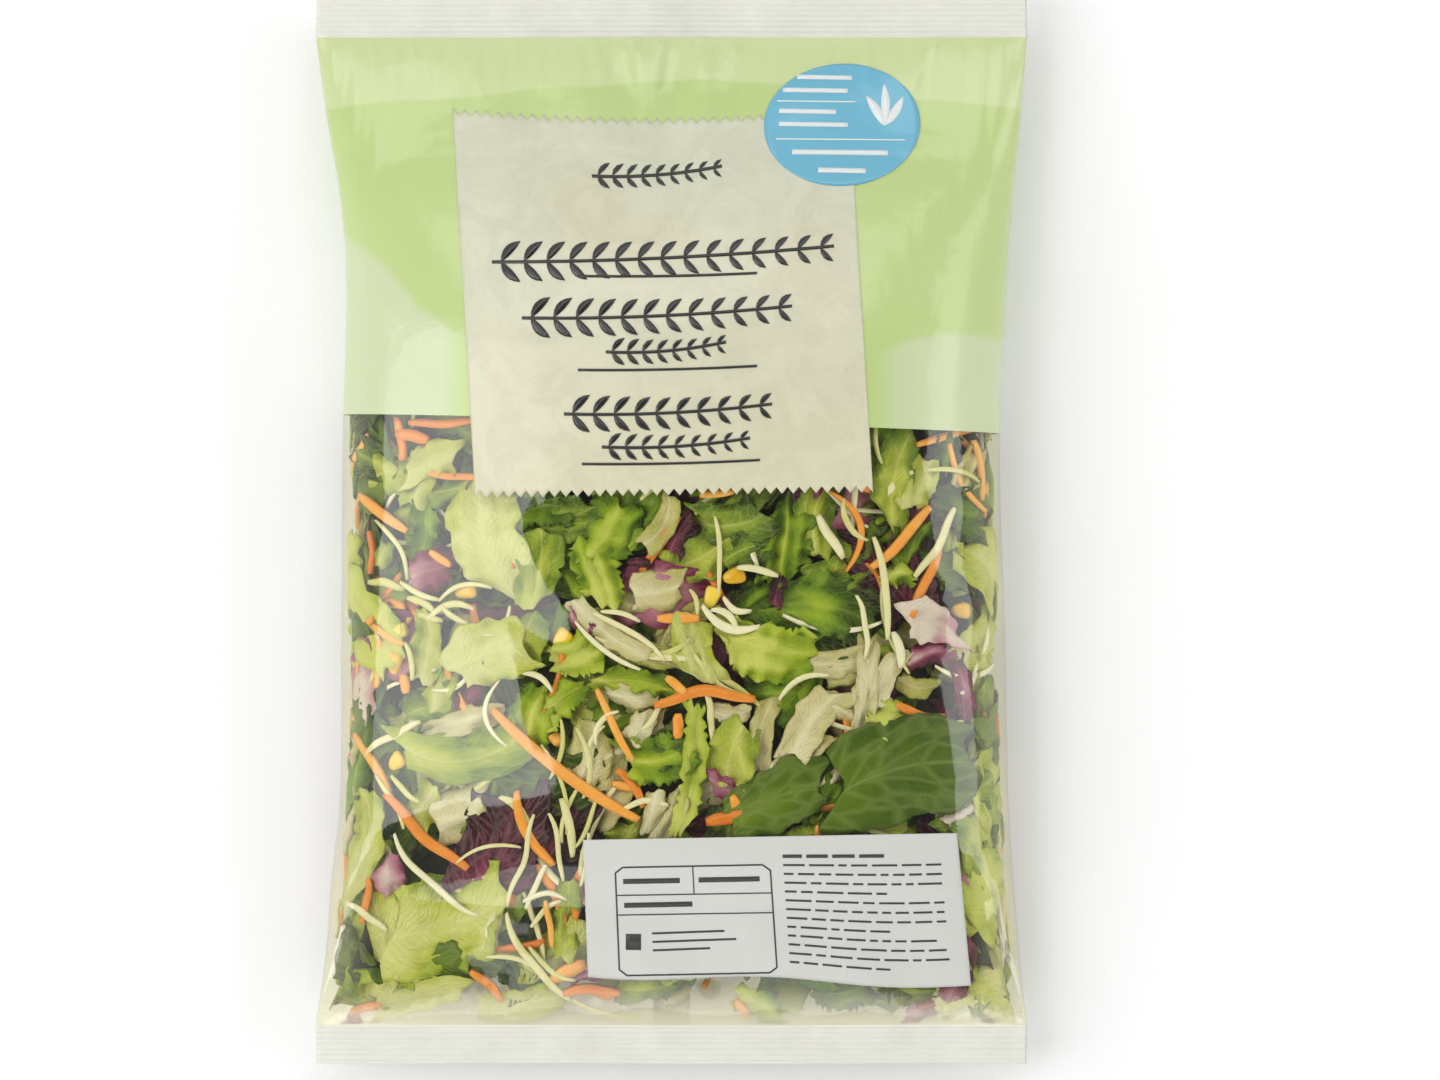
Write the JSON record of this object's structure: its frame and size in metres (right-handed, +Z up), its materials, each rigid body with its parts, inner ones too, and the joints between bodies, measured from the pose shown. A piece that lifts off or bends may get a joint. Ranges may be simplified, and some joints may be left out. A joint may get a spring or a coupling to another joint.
{
  "type": "bag of salad leaves",
  "caption": "Sealed pillow bag of mixed salad leaves with a printed upper half, a clear lower half, ribbed end seals and a white price label.",
  "frame": {"origin": "on the table under the middle of the bag, which lies on its back", "axes": "+X across the bag to the right seen from the front, +Y along the bag to its top seal, +Z up out of the printed front"},
  "size_m": [0.235, 0.353, 0.0597],
  "materials": {
    "film": "glossy clear film over salad leaves, printed pale green above",
    "label_card": "satin white adhesive label",
    "green_print": "pale green print under glossy film",
    "panel_print": "print that looks like a sheet of grey-beige paper",
    "badge_print": "sky blue print under glossy film",
    "ink": "near-black print",
    "white_ink": "white print",
    "lettuce": "pale green lettuce leaf, moist",
    "endive": "mid to dark green endive leaf, moist",
    "cabbage": "cream-white cabbage and leaf ribs",
    "radicchio": "purple red leaf with white ribs",
    "carrot": "orange carrot strips",
    "corn": "yellow sweetcorn kernels"
  },
  "bodies": {
    "root": {"bag": "film", "price_label": "label_card"}
  },
  "joints": []
}
